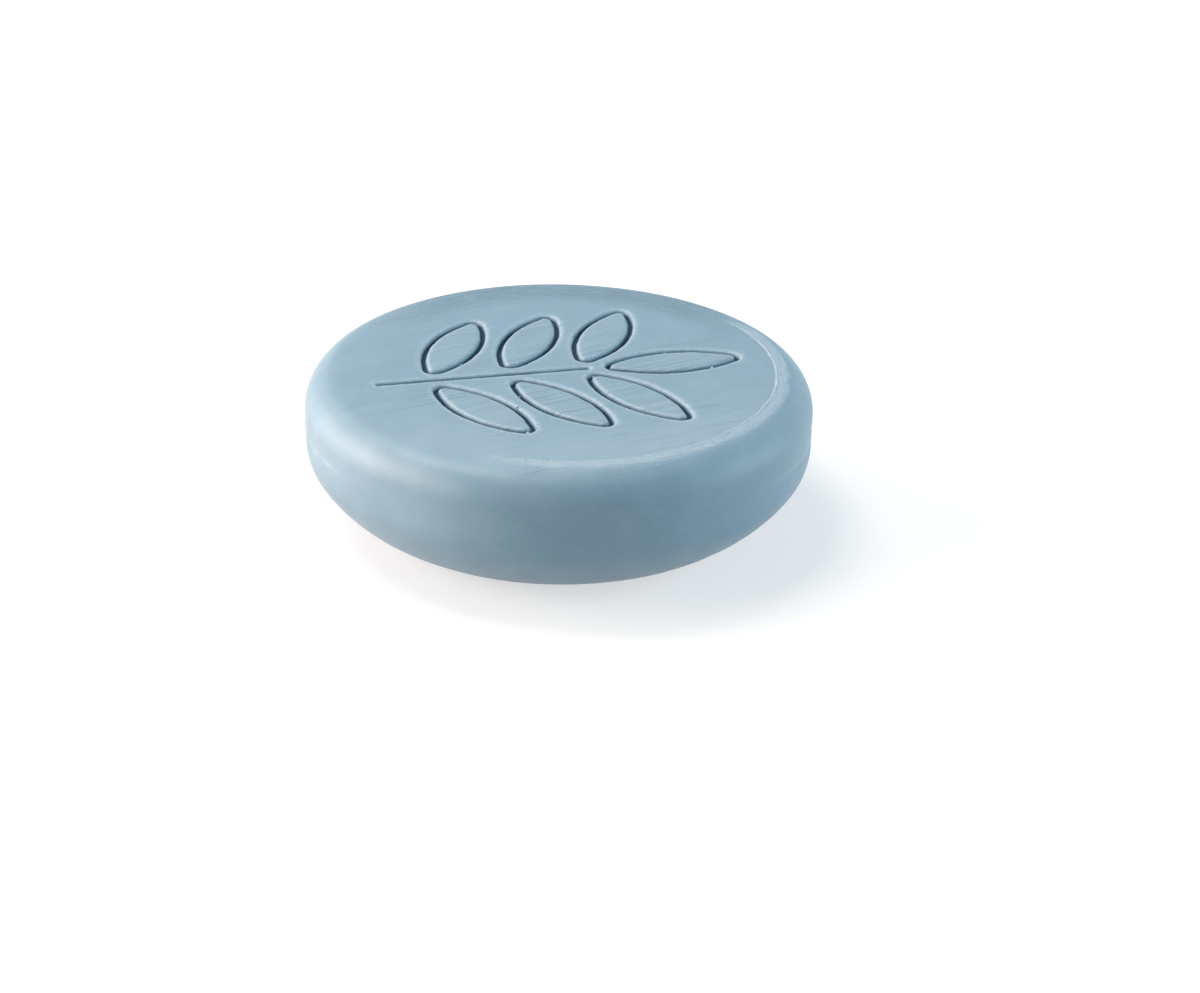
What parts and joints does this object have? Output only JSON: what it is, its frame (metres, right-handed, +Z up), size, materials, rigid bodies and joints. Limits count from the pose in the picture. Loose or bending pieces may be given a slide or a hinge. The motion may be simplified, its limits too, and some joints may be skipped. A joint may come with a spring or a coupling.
{
  "type": "bar of soap",
  "caption": "Round pressed bar of soap with a rounded shoulder, a bellied underside with a flat base, and a leafy sprig engraved in its flat upper face.",
  "frame": {"origin": "centre of the flat base that the bar stands on", "axes": "+Z up, along the bar's axis, out of the engraved face; +X along the sprig's stem, from its foot to its end leaf"},
  "size_m": [0.0762, 0.0762, 0.0235],
  "materials": {
    "soap": "satin"
  },
  "bodies": {
    "root": {"soap_bar": "soap"}
  },
  "joints": []
}
